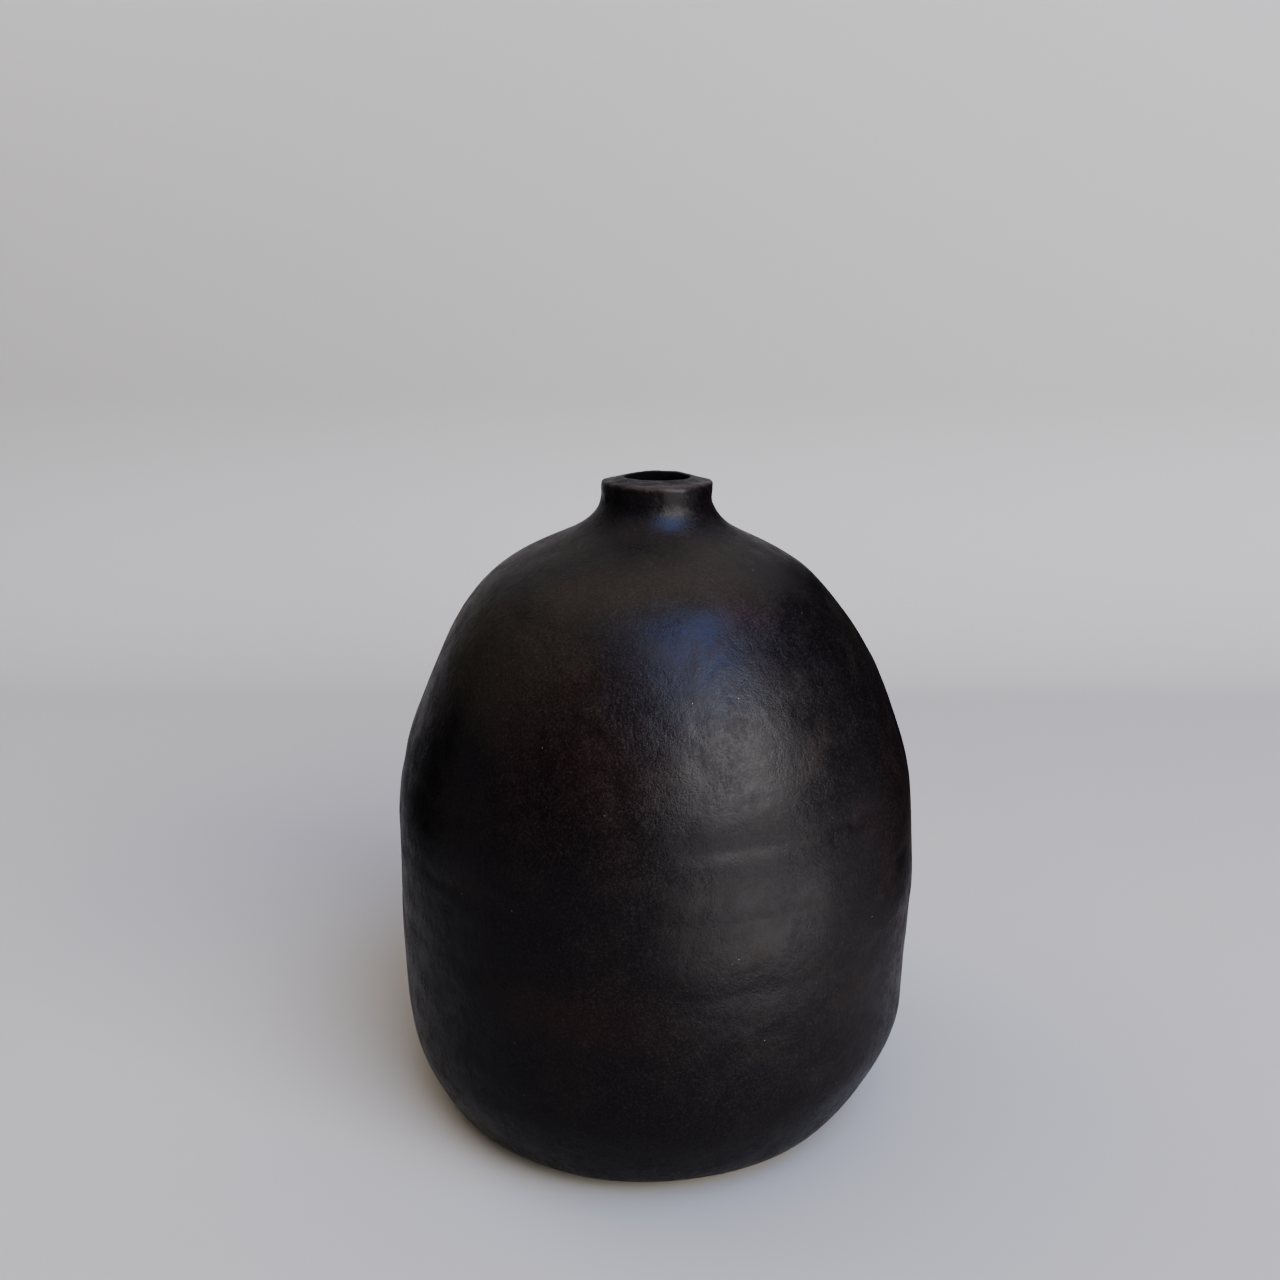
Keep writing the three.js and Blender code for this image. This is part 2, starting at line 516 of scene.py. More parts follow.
@dataclass(frozen=True)
class Firing:
    """Where the fire and use changed the clay's colour, and where light is painted on, written on each piece
    as attributes.

    Attributes:
        umber: clouds of that colour from the fire.
        olive_and_shoulder_light: clouds from the fire; those high on the shoulders are partly painted light,
            lighter and warmer where light falls from above.
        edge_radius, edge_height, edge_reach: the lip's outer edge, partly worn and partly a painted
            highlight, and the band's width, in millimetres.
        edge_azimuth, edge_wide: where that band is strongest, at the front where light catches it, and how
            far round, in degrees.
    """

    umber: tuple[Patch, ...] = (
        Patch(-18.0, 195.0, 28.0, 44.0, 0.5),
        Patch(-13.0, 92.0, 14.0, 15.0, 0.65),
        Patch(62.0, 150.0, 16.0, 40.0, 0.4),
        Patch(28.0, 236.0, 16.0, 10.0, 0.4),
        Patch(130.0, 100.0, 30.0, 34.0, 0.8),
        Patch(-120.0, 150.0, 24.0, 26.0, 0.7),
        Patch(178.0, 210.0, 26.0, 24.0, 0.8),
    )
    # Clouds from the fire; those high on the shoulders are partly painted light, lighter and warmer where
    # light falls from above.
    olive_and_shoulder_light: tuple[Patch, ...] = (
        Patch(-46.0, 222.0, 34.0, 28.0, 0.9),
        Patch(20.0, 250.0, 40.0, 14.0, 0.6),
        Patch(100.0, 215.0, 26.0, 22.0, 0.6),
        Patch(-150.0, 110.0, 34.0, 36.0, 0.7),
    )
    # The lip's outer edge band: partly worn, partly a painted highlight, strongest at the front where light
    # catches it.
    edge_radius: float = 22.6
    edge_height: float = 280.2
    edge_reach: float = 1.3
    edge_azimuth: float = 8.0
    edge_wide: float = 45.0

    def paint(self, mesh: bpy.types.Mesh, clay: "Clay") -> None:
        """Writes the umber, olive and wear shares of each vertex of a piece; the last two carry painted
        light as well.

        Args:
            mesh: the piece's mesh.
            clay: its vertices, in the mesh's order.
        """
        away = np.hypot(clay.radius - self.edge_radius, clay.height - self.edge_height)
        shares = {
            "umber": sum(patch.at(clay.azimuth, clay.height) for patch in self.umber),
            # Partly painted light: lighter, warmer upper shoulders where light falls from above.
            "olive_and_shoulder_light": sum(patch.at(clay.azimuth, clay.height) for patch in self.olive_and_shoulder_light),
            # The worn lip edge, partly a painted highlight where light catches its front.
            "wear_and_highlight": bell(away / self.edge_reach) * bell((clay.azimuth - self.edge_azimuth) / self.edge_wide),
        }
        for name, share in shares.items():
            layer = mesh.attributes.new(name, "FLOAT", "POINT")
            layer.data.foreach_set("value", share.astype(np.float32))


# ---------------------------------------------------------------- clay pieces


def add_object(name: str, data: bpy.types.ID) -> bpy.types.Object:
    """Adds a new object that shows data to the scene.

    Args:
        name: the object's name.
        data: its mesh, light or camera.

    Returns:
        The new object.
    """
    thing = bpy.data.objects.new(name, data)
    bpy.context.scene.collection.objects.link(thing)
    return thing


def add_form(name: str, form: bmesh.types.BMesh) -> bpy.types.Object:
    """Turns a form into a mesh object and frees the form.

    Args:
        name: the name of the mesh and the object.
        form: the finished form.

    Returns:
        The new object.
    """
    mesh = bpy.data.meshes.new(name)
    form.to_mesh(mesh)
    form.free()
    return add_object(name, mesh)


@dataclass
class ClayPiece:
    """One piece of clay between two joints of the jar.

    Attributes:
        node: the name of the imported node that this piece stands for.
        outline: the wall's outline.
        hand: the hand's marks.
        firing: the colours that the fire left.
        creases: the valleys along the joints.
        bottom, top: the joints below and above, if there are any.
        outer_stride, inner_stride, joint_stride: distance between points of the section.
        scarf_drop: how much lower a joint's inner edge lies than its outer edge, along the wall.
        neck: whether the piece has the mouth through it.
        shell: the piece's object, once it is built.
        seam_places: the joint and step of each vertex on the outer edge of a joint.
    """

    node: str
    outline: Outline
    hand: HandWork
    firing: Firing
    creases: tuple[CourseCrease, ...]
    bottom: Joint | None
    top: Joint | None
    outer_stride: float = 1.3
    inner_stride: float = 3.0
    joint_stride: float = 2.5
    scarf_drop: float = 6.0
    neck: bool = False
    shell: bpy.types.Object | None = None
    seam_places: dict[int, tuple[int, int]] = field(default_factory=dict)

    def run(self, start: float, end: float, inside: bool = False) -> list[WallPoint]:
        """Points on one side of the wall from one length of the outline to another, both included.

        Args:
            start, end: the two lengths, in millimetres.
            inside: whether it is the wall's inside.

        Returns:
            The points in order.
        """
        if inside:
            at, stride, depth, zone = self.outline.inner, self.inner_stride, 1.0, Zone.INSIDE
        else:
            at, stride, depth, zone = self.outline.outer, self.outer_stride, 0.0, Zone.OUTSIDE
        count = max(2, round(abs(end - start) / stride))
        return [WallPoint(*at(length), depth, zone) for length in np.linspace(start, end, count + 1)]

    def joint_run(self, start: WallPoint, end: WallPoint) -> list[WallPoint]:
        """Points on a scarfed joint, between two points of the skin and without them.

        Args:
            start, end: the two points.

        Returns:
            The points in order.
        """
        width = math.hypot(end.radius - start.radius, end.height - start.height)
        count = max(2, round(width / self.joint_stride))
        return [self.between(start, end, i / count) for i in range(1, count)]

    @staticmethod
    def between(start: WallPoint, end: WallPoint, share: float) -> WallPoint:
        """A point on the straight line from start to end.

        Args:
            start, end: the line's ends.
            share: how far along the line, from 0 to 1.

        Returns:
            The point, on a joint.
        """
        first, last = (np.array((p.radius, p.height, p.tilt, p.depth, p.lip)) for p in (start, end))
        radius, height, tilt, depth, lip = (first + (last - first) * share).tolist()
        return WallPoint(radius, height, tilt, depth, Zone.JOINT, lip)

    def section(self) -> list[WallPoint]:
        """The piece's closed section, up the outside and down the inside.

        Returns:
            The points in order.
        """
        low, high = self.bottom[1], self.top[1]
        outer = self.run(low, high)
        inner = self.run(high - self.scarf_drop, low - self.scarf_drop, inside=True)
        outer[-1] = replace(outer[-1], zone=Zone.JOINT)
        inner[-1] = replace(inner[-1], zone=Zone.JOINT)
        top, bottom = self.joint_run(outer[-1], inner[0]), self.joint_run(inner[-1], outer[0])
        return [*outer, *top, *inner, *bottom]

    def build(self, seams: Seams) -> None:
        """Revolves the section, lets the hand shape it and makes the piece's object.

        Args:
            seams: collects the normals along the piece's joints.
        """
        section = self.section()
        closed = section[0].radius > 0.0
        form = self.revolve(section, closed)
        place_of = form.verts.layers.int["place"]
        points = np.array([vert[place_of] for vert in form.verts])
        turned = np.array([vert.co[:2] for vert in form.verts])
        turns = np.arctan2(turned[:, 0], -turned[:, 1]) / math.tau
        steps = np.rint(turns * STEPS_ROUND).astype(int) % STEPS_ROUND
        clay = Clay.of(section, points, steps)
        places = self.hand.places(clay, self.creases, self.neck) * MM
        for vert, place in zip(form.verts, places.tolist()):
            vert.co = place
        self.zone_facets(form, section, closed)
        bmesh.ops.recalc_face_normals(form, faces=form.faces[:])
        self.find_seams(section, points, steps)
        self.gather_seams(form, seams)
        self.shell = add_form(self.node + "_clay", form)
        self.firing.paint(self.shell.data, clay)

    def find_seams(self, section: list[WallPoint], points: np.ndarray, steps: np.ndarray) -> None:
        """Notes which vertices lie on the outer edges of the piece's joints.

        Args:
            section: the piece's section.
            points: the number of each vertex's point in the section.
            steps: each vertex's step round the jar.
        """
        joint_of = [self.joint_at(point) for point in section]
        self.seam_places = {
            vertex: (joint_of[point], step)
            for vertex, (point, step) in enumerate(zip(points.tolist(), steps.tolist()))
            if joint_of[point] is not None
        }

    def revolve(self, section: list[WallPoint], closed: bool) -> bmesh.types.BMesh:
        """Spins the section once round the jar's axis.

        Args:
            section: the points of the section.
            closed: whether the last point joins the first. A section that isn't closed ends on the axis.

        Returns:
            A mesh whose vertices know their point of the section.
        """
        form = bmesh.new()
        place_of = form.verts.layers.int.new("place")
        for number, point in enumerate(section):
            vert = form.verts.new((point.radius, 0.0, point.height))
            vert[place_of] = number
        form.verts.ensure_lookup_table()
        last = len(section) if closed else len(section) - 1
        for number in range(last):
            form.edges.new((form.verts[number], form.verts[(number + 1) % len(section)]))
        bmesh.ops.spin(
            form, geom=form.verts[:] + form.edges[:], axis=(0.0, 0.0, 1.0), angle=math.tau,
            steps=SPIN_STEPS, use_merge=True,
        )
        on_axis = [vert for vert in form.verts if math.hypot(vert.co.x, vert.co.y) < AXIS_REACH]
        bmesh.ops.remove_doubles(form, verts=on_axis, dist=MERGE_REACH)
        rings = [edge for edge in form.edges if edge.verts[0][place_of] == edge.verts[1][place_of]]
        bmesh.ops.subdivide_edges(form, edges=rings, cuts=CUTS_PER_STEP, use_grid_fill=True)
        return form

    def zone_facets(self, form: bmesh.types.BMesh, section: list[WallPoint], closed: bool) -> None:
        """Gives each facet its zone's material, and a crisp edge where two zones meet.

        Args:
            form: the piece's form.
            section: the piece's section.
            closed: whether the section's last point joins its first.
        """
        place_of = form.verts.layers.int["place"]
        last = len(section) - 1
        for facet in form.faces:
            numbers = sorted({vert[place_of] for vert in facet.verts})
            start = last if closed and numbers == [0, last] else numbers[0]
            facet.material_index = int(section[start].zone)
            facet.smooth = True
        for edge in form.edges:
            zones = {facet.material_index for facet in edge.link_faces}
            edge.smooth = len(zones) == 1 or int(Zone.JOINT) not in zones

    def joint_at(self, point: WallPoint) -> int | None:
        """The number of the joint whose outer edge a point of the section lies on.

        Args:
            point: the point.

        Returns:
            The number, or None if it lies on no joint.
        """
        if point.depth != 0.0:
            return None
        for joint in (self.bottom, self.top):
            if joint is not None and (point.radius, point.height) == self.outline.outer(joint[1])[:2]:
                return joint[0]
        return None

    def gather_seams(self, form: bmesh.types.BMesh, seams: Seams) -> None:
        """Adds the outer skin's area-weighted normals along the piece's joints.

        Args:
            form: the piece's form.
            seams: collects the normals.
        """
        form.verts.ensure_lookup_table()
        for number, place in self.seam_places.items():
            for facet in form.verts[number].link_faces:
                if facet.material_index == int(Zone.OUTSIDE):
                    seams[place] += facet.normal * facet.calc_area()

    def match_seams(self, seams: Seams) -> None:
        """Shades the edges of the outer skin as one surface with the neighbours'.

        Args:
            seams: the normals of every piece.
        """
        mesh = self.shell.data
        normals = [(0.0, 0.0, 0.0)] * len(mesh.loops)
        for facet in mesh.polygons:
            if facet.material_index != int(Zone.OUTSIDE):
                continue
            for corner in facet.loop_indices:
                place = self.seam_places.get(mesh.loops[corner].vertex_index)
                if place is not None:
                    normals[corner] = tuple(seams[place].normalized())
        mesh.normals_split_custom_set(normals)

    def dress(self, burnished: bpy.types.Material, scraped: bpy.types.Material) -> None:
        """Puts the finishes on and ties the piece to the frame.

        Args:
            burnished: the finish outside.
            scraped: the finish inside and on the joints.
        """
        for finish in (burnished, scraped, scraped):
            self.shell.data.materials.append(finish)
        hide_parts(self.node)
        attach(self.shell, "root")


@dataclass
class BaseSlab(ClayPiece):
    """The dished disc that the jar stands on. Its underside and floor are flat.

    Attributes:
        floor_stride: distance between points of the flats, in millimetres.
    """

    floor_stride: float = 5.0

    def section(self) -> list[WallPoint]:
        """From the axis under the foot, up the heel, over the joint and back along the floor.

        Returns:
            The points in order.
        """
        outline, high, down = self.outline, self.top[1], -math.pi / 2
        floor_height = outline.wall.at(0.0)
        count = round(outline.foot_radius / self.floor_stride)
        radii = np.linspace(0.0, outline.foot_radius, count + 1)[:-1].tolist()
        underside = [WallPoint(radius, 0.0, down, 0.0, Zone.OUTSIDE) for radius in radii]
        outer = self.run(0.0, high)
        inner = self.run(high - self.scarf_drop, 0.0, inside=True)
        outer[-1] = replace(outer[-1], zone=Zone.JOINT)
        floor = [WallPoint(radius, floor_height, down, 1.0, Zone.INSIDE) for radius in radii[::-1]]
        return [*underside, *outer, *self.joint_run(outer[-1], inner[0]), *inner, *floor]


@dataclass
class LipCoil(ClayPiece):
    """The coil folded over the neck. Its skin rolls over the crest and down into the mouth.

    Measures are in millimetres.

    Attributes:
        mouth_radius: radius of the throat.
        mouth_edge: radius within which the skin is scraped and no longer burnished.
        mouth_rounding: how far down the mouth its edge rolls over.
        throat_stride: distance between points of the throat.
        throat_fade: how far down the throat the outside's unevenness gives way to the inside's.
        fold_height, full_lip_height: heights between which the neck's skin becomes the rolled lip's.
    """

    mouth_radius: float = 10.6
    mouth_edge: float = 12.3
    mouth_rounding: float = 1.5
    throat_stride: float = 0.8
    throat_fade: float = 5.0
    fold_height: float = 268.0
    full_lip_height: float = 274.0

    def section(self) -> list[WallPoint]:
        """Up the neck, over the lip's crest, round the mouth's edge and down the throat.

        Returns:
            The points in order.
        """
        low = self.bottom[1]
        skin = [self.lipped(point) for point in self.run(low, self.outline.length)]
        foot = WallPoint(*self.outline.inner(low - self.scarf_drop), 1.0, Zone.JOINT)
        return [*skin, *self.throat(skin[-1], foot), foot, *self.joint_run(foot, skin[0])]

    def lipped(self, point: WallPoint) -> WallPoint:
        """The same point, told how much of the rolled lip it is.

        Args:
            point: a point of the skin.

        Returns:
            The point with its lip and its zone.
        """
        share = smoothstep(self.fold_height, self.full_lip_height, point.height)
        zone = Zone.INSIDE if point.radius < self.mouth_edge else point.zone
        return replace(point, zone=zone, lip=share)

    def throat(self, edge: WallPoint, foot: WallPoint) -> list[WallPoint]:
        """Points from the mouth's edge down to the inside of the neck.

        Args:
            edge: the point on the mouth's edge, which is the skin's last.
            foot: the point where the throat ends.

        Returns:
            The points in order.
        """
        bend = (edge.height + foot.height) / 2.0
        knots = [
            (edge.radius, edge.height),
            (self.mouth_radius, edge.height - self.mouth_rounding),
            (self.mouth_radius, bend),
            (foot.radius, foot.height),
        ]
        points: list[WallPoint] = []
        for (radius, height), (next_radius, next_height) in zip(knots, knots[1:]):
            run, rise = next_radius - radius, next_height - height
            count = max(1, round(math.hypot(run, rise) / self.throat_stride))
            tilt = math.atan2(-run, rise)
            for i in range(1 if not points else 0, count):
                share = i / count
                at = height + rise * share
                depth = smoothstep(edge.height, edge.height - self.throat_fade, at)
                lip = smoothstep(foot.height, bend, at)
                points.append(WallPoint(radius + run * share, at, tilt, depth, Zone.INSIDE, lip))
        return points


@dataclass
class Jar:
    """The whole jar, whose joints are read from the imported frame.

    Attributes:
        outline, hand, firing: as in ClayPiece.
        order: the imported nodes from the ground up.
        slip: width of the seam between two pieces, in millimetres.
        crease_depths: depth of each joint's valley, clear round the belly and faint elsewhere.
        neck_nodes: the pieces below the lip that the mouth goes through.
        lip_stride: distance between points over the lip.
        pieces: the built pieces.
    """

    outline: Outline = field(default_factory=Outline)
    hand: HandWork = field(default_factory=HandWork)
    firing: Firing = field(default_factory=Firing)
    order: tuple[str, ...] = (
        "base_slab", "heel_course", "lower_wall_course", "lower_belly_course", "belly_course",
        "upper_belly_course", "lower_shoulder_course", "shoulder_course", "upper_shoulder_course",
        "closing_course", "neck_collar", "lip_coil",
    )
    slip: float = 0.4
    crease_depths: tuple[float, ...] = (0.0, 0.12, 0.14, 0.3, 0.65, 1.0, 0.14, 0.12, 0.12, 0.12)
    neck_nodes: tuple[str, ...] = ("neck_collar",)
    lip_stride: float = 0.6
    pieces: list[ClayPiece] = field(default_factory=list)

    def joints(self) -> list[float]:
        """Length along the outline of every joint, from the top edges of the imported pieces."""
        tops = [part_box(node)[1].z / MM for node in self.order[:-1]]
        return [self.outline.length_at(top) + self.slip / 2.0 for top in tops]

    def build(self) -> None:
        """Makes every piece, from the ground up, and shades their joints as one skin."""
        joints = self.joints()
        creases = tuple(
            CourseCrease(self.outline.outer(length)[1], depth)
            for length, depth in zip(joints, self.crease_depths)
        )
        seams: Seams = defaultdict(Vector)
        ends = [None, *enumerate(joints), None]
        for node, bottom, top in zip(self.order, ends, ends[1:]):
            piece = self.piece(node, creases, bottom, top)
            piece.build(seams)
            self.pieces.append(piece)
            LOG.info("%s: %d faces", node, len(piece.shell.data.polygons))
        for piece in self.pieces:
            piece.match_seams(seams)

    def piece(
        self, node: str, creases: tuple[CourseCrease, ...], bottom: Joint | None, top: Joint | None
    ) -> ClayPiece:
        """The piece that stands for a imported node, not built yet.

        Args:
            node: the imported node's name.
            creases: the valleys along the joints.
            bottom, top: the joints below and above.

        Returns:
            The piece.
        """
        parts: dict[str, Any] = dict(
            node=node, outline=self.outline, hand=self.hand, firing=self.firing, creases=creases,
            bottom=bottom, top=top,
        )
        if bottom is None:
            return BaseSlab(**parts)
        if top is None:
            return LipCoil(**parts, outer_stride=self.lip_stride, neck=True)
        return ClayPiece(**parts, neck=node in self.neck_nodes)

    def dress(self, burnished: bpy.types.Material, scraped: bpy.types.Material) -> None:
        """Puts the finishes on every piece."""
        for piece in self.pieces:
            piece.dress(burnished, scraped)


# ---------------------------------------------------------------- finishes


def linear(hex_colour: str) -> tuple[float, float, float, float]:
    """Turns an sRGB hex colour such as "#1b1614" into the linear colour that shaders read.

    Args:
        hex_colour: the colour.

    Returns:
        Linear red, green, blue and an alpha of 1.
    """
    parts = [int(hex_colour[i:i + 2], 16) / 255.0 for i in (1, 3, 5)]
    values = [p / 12.92 if p <= 0.04045 else ((p + 0.055) / 1.055) ** 2.4 for p in parts]
    return (*values, 1.0)


def add_node(
    tree: bpy.types.NodeTree, kind: str, inputs: dict[Any, Any] | None = None, **settings: Any
) -> bpy.types.Node:
    """Adds a shader node.

    Args:
        tree: the material's node tree.
        kind: the node's type name.
        inputs: values or output sockets by input name or number.
        settings: the node's own settings.

    Returns:
        The new node.
    """
    node = tree.nodes.new(kind)
    for name, value in settings.items():
        setattr(node, name, value)
    for name, value in (inputs or {}).items():
        if isinstance(value, Socket):
            tree.links.new(value, node.inputs[name])
        else:
            node.inputs[name].default_value = value
    return node


@dataclass(frozen=True)
class Finish:
    """What a surface is made of. Sizes, spacings and heights of its patterns are in millimetres.

    Attributes:
        name: the real finish's name.
    """

    name: str

    def surface(self, tree: bpy.types.NodeTree) -> dict[str, Any]:
        """The Principled shader's inputs, which each finish gives for itself."""
        raise NotImplementedError

    def make(self) -> bpy.types.Material:
        """Builds the finish's material.

        Returns:
            The new material.
        """
        material = bpy.data.materials.new(self.name)
        material.use_nodes = True
        tree = material.node_tree
        tree.nodes.clear()
        shader = add_node(tree, "ShaderNodeBsdfPrincipled", self.surface(tree))
        add_node(tree, "ShaderNodeOutputMaterial", {"Surface": shader.outputs["BSDF"]})
        return material


@dataclass(frozen=True)
class BurnishedEarthenware(Finish):
    """Smoke-fired earthenware, rubbed with a pebble while leather hard.

    The smoke turns the clay brown-black right through, with browner clouds where air reached it. The pebble
    lays the surface down in short overlapping strokes, so it shines softly and unevenly, like satin. The
    clay's grain and its specks of mica are drawn coarser than they are, so that they show.

    Attributes:
        smoke_black, umber_cloud, mica_speck: colours.
        olive_bloom_and_shoulder_light: colour of clouds from the fire, partly painted light where they lie
            high on the shoulders.
        worn_edge_and_highlight: colour of the worn lip edge, partly a painted highlight along its front.
        cloud_edge, daub_size, stroke_size, patch_size, grain_size: sizes of the noises.
        cloud_detail, daub_detail, stroke_detail, patch_detail, grain_detail: how much finer they go.
        crispness, stroke_crispness: how strong the finer part is.
        cloud_fade: the sum of a cloud's share and its noise where its colour starts and where it is full.
        stroke_slenderness: a stroke's width round the jar as a share of its length up the jar.
        patch_fade: the noise where the pebble pressed lightly and where it pressed hard.
        patch_pressure: how clear the strokes are in those two places.
        grain_fade, grain_shade: the noise at dark and at light grains, and how dark and light they are.
        speck_spacing, speck_size: distance between cells that may hold a speck, and a speck's radius.
        speck_rarity: share of the cells that hold none.
        unevenness: the sum of the noises where the surface is glossiest and where it is dullest.
        roughness: the roughness in those two places.
        daub_height, stroke_height, grain_height: how far each relief stands out.
    """

    name: str = "burnished_smoke_fired_earthenware"
    smoke_black: str = "#151213"
    umber_cloud: str = "#241816"
    # Cloud colour from the fire, partly painted light on the upper shoulders.
    olive_bloom_and_shoulder_light: str = "#2b271f"
    mica_speck: str = "#8d857a"
    # Worn lip edge, partly a painted highlight along its front.
    worn_edge_and_highlight: str = "#392e28"
    cloud_edge: float = 22.0
    cloud_detail: float = 2.5
    cloud_fade: tuple[float, float] = (0.45, 1.45)
    daub_size: float = 11.0
    daub_detail: float = 2.0
    stroke_size: float = 2.9
    stroke_detail: float = 5.0
    stroke_crispness: float = 0.72
    stroke_slenderness: float = 0.7
    patch_size: float = 16.0
    patch_detail: float = 1.0
    patch_fade: tuple[float, float] = (0.38, 0.62)
    patch_pressure: tuple[float, float] = (0.35, 1.65)
    grain_size: float = 1.0
    grain_detail: float = 2.0
    grain_fade: tuple[float, float] = (0.3, 0.7)
    grain_shade: tuple[float, float] = (0.8, 1.2)
    crispness: float = 0.55
    speck_spacing: float = 5.0
    speck_size: float = 0.15
    speck_rarity: float = 0.7
    unevenness: tuple[float, float] = (1.35, 1.85)
    roughness: tuple[float, float] = (0.32, 0.52)
    daub_height: float = 0.34
    stroke_height: float = 0.19
    grain_height: float = 0.09
    ior: float = 1.3

    def surface(self, tree: bpy.types.NodeTree) -> dict[str, Any]:
        """Clouded brown-black, glossier where the pebble pressed hardest.

        Args:
            tree: the material's node tree.

        Returns:
            The Principled shader's inputs.
        """
        place = add_node(tree, "ShaderNodeTexCoord").outputs["Object"]
        daubs, patches, grain, edges = (
            add_node(
                tree, "ShaderNodeTexNoise",
                {"Vector": place, "Scale": 1.0 / (size * MM), "Detail": detail, "Roughness": self.crispness},
            ).outputs["Fac"]
            for size, detail in (
                (self.daub_size, self.daub_detail), (self.patch_size, self.patch_detail),
                (self.grain_size, self.grain_detail), (self.cloud_edge, self.cloud_detail),
            )
        )
        strokes = self.strokes(tree, place, patches)
        total = add_node(tree, "ShaderNodeMath", {0: strokes, 1: daubs}, operation="ADD").outputs["Value"]
        total = add_node(tree, "ShaderNodeMath", {0: total, 1: grain}, operation="ADD").outputs["Value"]
        satin = add_node(
            tree, "ShaderNodeMapRange",
            {
                "Value": total, "From Min": self.unevenness[0], "From Max": self.unevenness[1],
                "To Min": self.roughness[0], "To Max": self.roughness[1],
            },
        )
        return {
            "Base Color": self.colour(tree, place, edges, grain),
            "Roughness": satin.outputs["Result"],
            "Normal": self.bumps(tree, daubs, strokes, grain),
            "IOR": self.ior,
        }

    def strokes(self, tree: bpy.types.NodeTree, place: Socket, patches: Socket) -> Socket:
        """Short overlapping strokes of the pebble, deep in some patches and faint in others.

        Args:
            tree: the material's node tree.
            place: where on the jar a point lies.
            patches: noise that says how hard the pebble pressed.

        Returns:
            The strokes' relief, about NOISE_MIDDLE.
        """
        upright = (1.0, 1.0, self.stroke_slenderness)
        drawn = add_node(tree, "ShaderNodeMapping", {"Vector": place, "Scale": upright})
        strokes = add_node(
            tree, "ShaderNodeTexNoise",
            {
                "Vector": drawn.outputs["Vector"], "Scale": 1.0 / (self.stroke_size * MM),
                "Detail": self.stroke_detail, "Roughness": self.stroke_crispness,
            },
        )
        pressed = add_node(
            tree, "ShaderNodeMapRange",
            {
                "Value": patches, "From Min": self.patch_fade[0], "From Max": self.patch_fade[1],
                "To Min": self.patch_pressure[0], "To Max": self.patch_pressure[1],
            },
        )
        centred = add_node(
            tree, "ShaderNodeMath", {0: strokes.outputs["Fac"], 1: NOISE_MIDDLE}, operation="SUBTRACT"
        )
        return add_node(
            tree, "ShaderNodeMath",
            {0: centred.outputs["Value"], 1: pressed.outputs["Result"], 2: NOISE_MIDDLE},
            operation="MULTIPLY_ADD",
        ).outputs["Value"]

    def colour(self, tree: bpy.types.NodeTree, place: Socket, edges: Socket, grain: Socket) -> Socket:
        """Brown-black clay with fire clouds, painted light on the upper shoulders, a worn lip edge with a
        painted highlight and specks of mica.

        Args:
            tree: the material's node tree.
            place: where on the jar a point lies.
            edges: noise that breaks up the clouds' edges.
            grain: noise of the clay's grain.

        Returns:
            The colour.
        """
        colour = linear(self.smoke_black)
        for name, tint, breaks in (
            # Fire clouds, partly painted light where they lie high on the shoulders.
            ("olive_and_shoulder_light", self.olive_bloom_and_shoulder_light, edges),
            ("umber", self.umber_cloud, edges),
            # The worn lip edge, partly a painted highlight where light catches its front.
            ("wear_and_highlight", self.worn_edge_and_highlight, grain),
        ):
            share = add_node(tree, "ShaderNodeAttribute", attribute_name=name).outputs["Fac"]
            both = add_node(tree, "ShaderNodeMath", {0: share, 1: breaks}, operation="ADD").outputs["Value"]
            broken = add_node(
                tree, "ShaderNodeMapRange",
                {"Value": both, "From Min": self.cloud_fade[0], "From Max": self.cloud_fade[1]},
                interpolation_type="SMOOTHSTEP",
            ).outputs["Result"]
            inputs = {0: broken, 6: colour, 7: linear(tint)}
            colour = add_node(tree, "ShaderNodeMix", inputs, data_type="RGBA").outputs[2]
        shade = add_node(
            tree, "ShaderNodeMapRange",
            {
                "Value": grain, "From Min": self.grain_fade[0], "From Max": self.grain_fade[1],
                "To Min": self.grain_shade[0], "To Max": self.grain_shade[1],
            },
        ).outputs["Result"]
        shaded = add_node(tree, "ShaderNodeVectorMath", {0: colour, "Scale": shade}, operation="SCALE")
        inputs = {0: self.specks(tree, place), 6: shaded.outputs["Vector"], 7: linear(self.mica_speck)}
        return add_node(tree, "ShaderNodeMix", inputs, data_type="RGBA").outputs[2]

    def specks(self, tree: bpy.types.NodeTree, place: Socket) -> Socket:
        """Sparse pale specks of mica.

        Args:
            tree: the material's node tree.
            place: where on the jar a point lies.

        Returns:
            1 on a speck and 0 off it.
        """
        inputs = {"Vector": place, "Scale": 1.0 / (self.speck_spacing * MM)}
        cells = add_node(tree, "ShaderNodeTexVoronoi", inputs).outputs
        near, chosen = (
            add_node(tree, "ShaderNodeMath", {0: value, 1: limit}, operation=operation).outputs["Value"]
            for value, limit, operation in (
                (cells["Distance"], self.speck_size / self.speck_spacing, "LESS_THAN"),
                (cells["Color"], self.speck_rarity, "GREATER_THAN"),
            )
        )
        return add_node(tree, "ShaderNodeMath", {0: near, 1: chosen}, operation="MULTIPLY").outputs["Value"]

    def bumps(self, tree: bpy.types.NodeTree, daubs: Socket, strokes: Socket, grain: Socket) -> Socket:
        """Broad daubs, the strokes' low facets and the clay's fine grain on top.

        Args:
            tree: the material's node tree.
            daubs, strokes, grain: their reliefs.

        Returns:
            The surface's normal.
        """
        under: dict[str, Socket] = {}
        for relief, height in (
            (daubs, self.daub_height), (strokes, self.stroke_height), (grain, self.grain_height)
        ):
            inputs = {"Height": relief, "Strength": 1.0, "Distance": height * MM, **under}
            under = {"Normal": add_node(tree, "ShaderNodeBump", inputs).outputs["Normal"]}
        return under["Normal"]


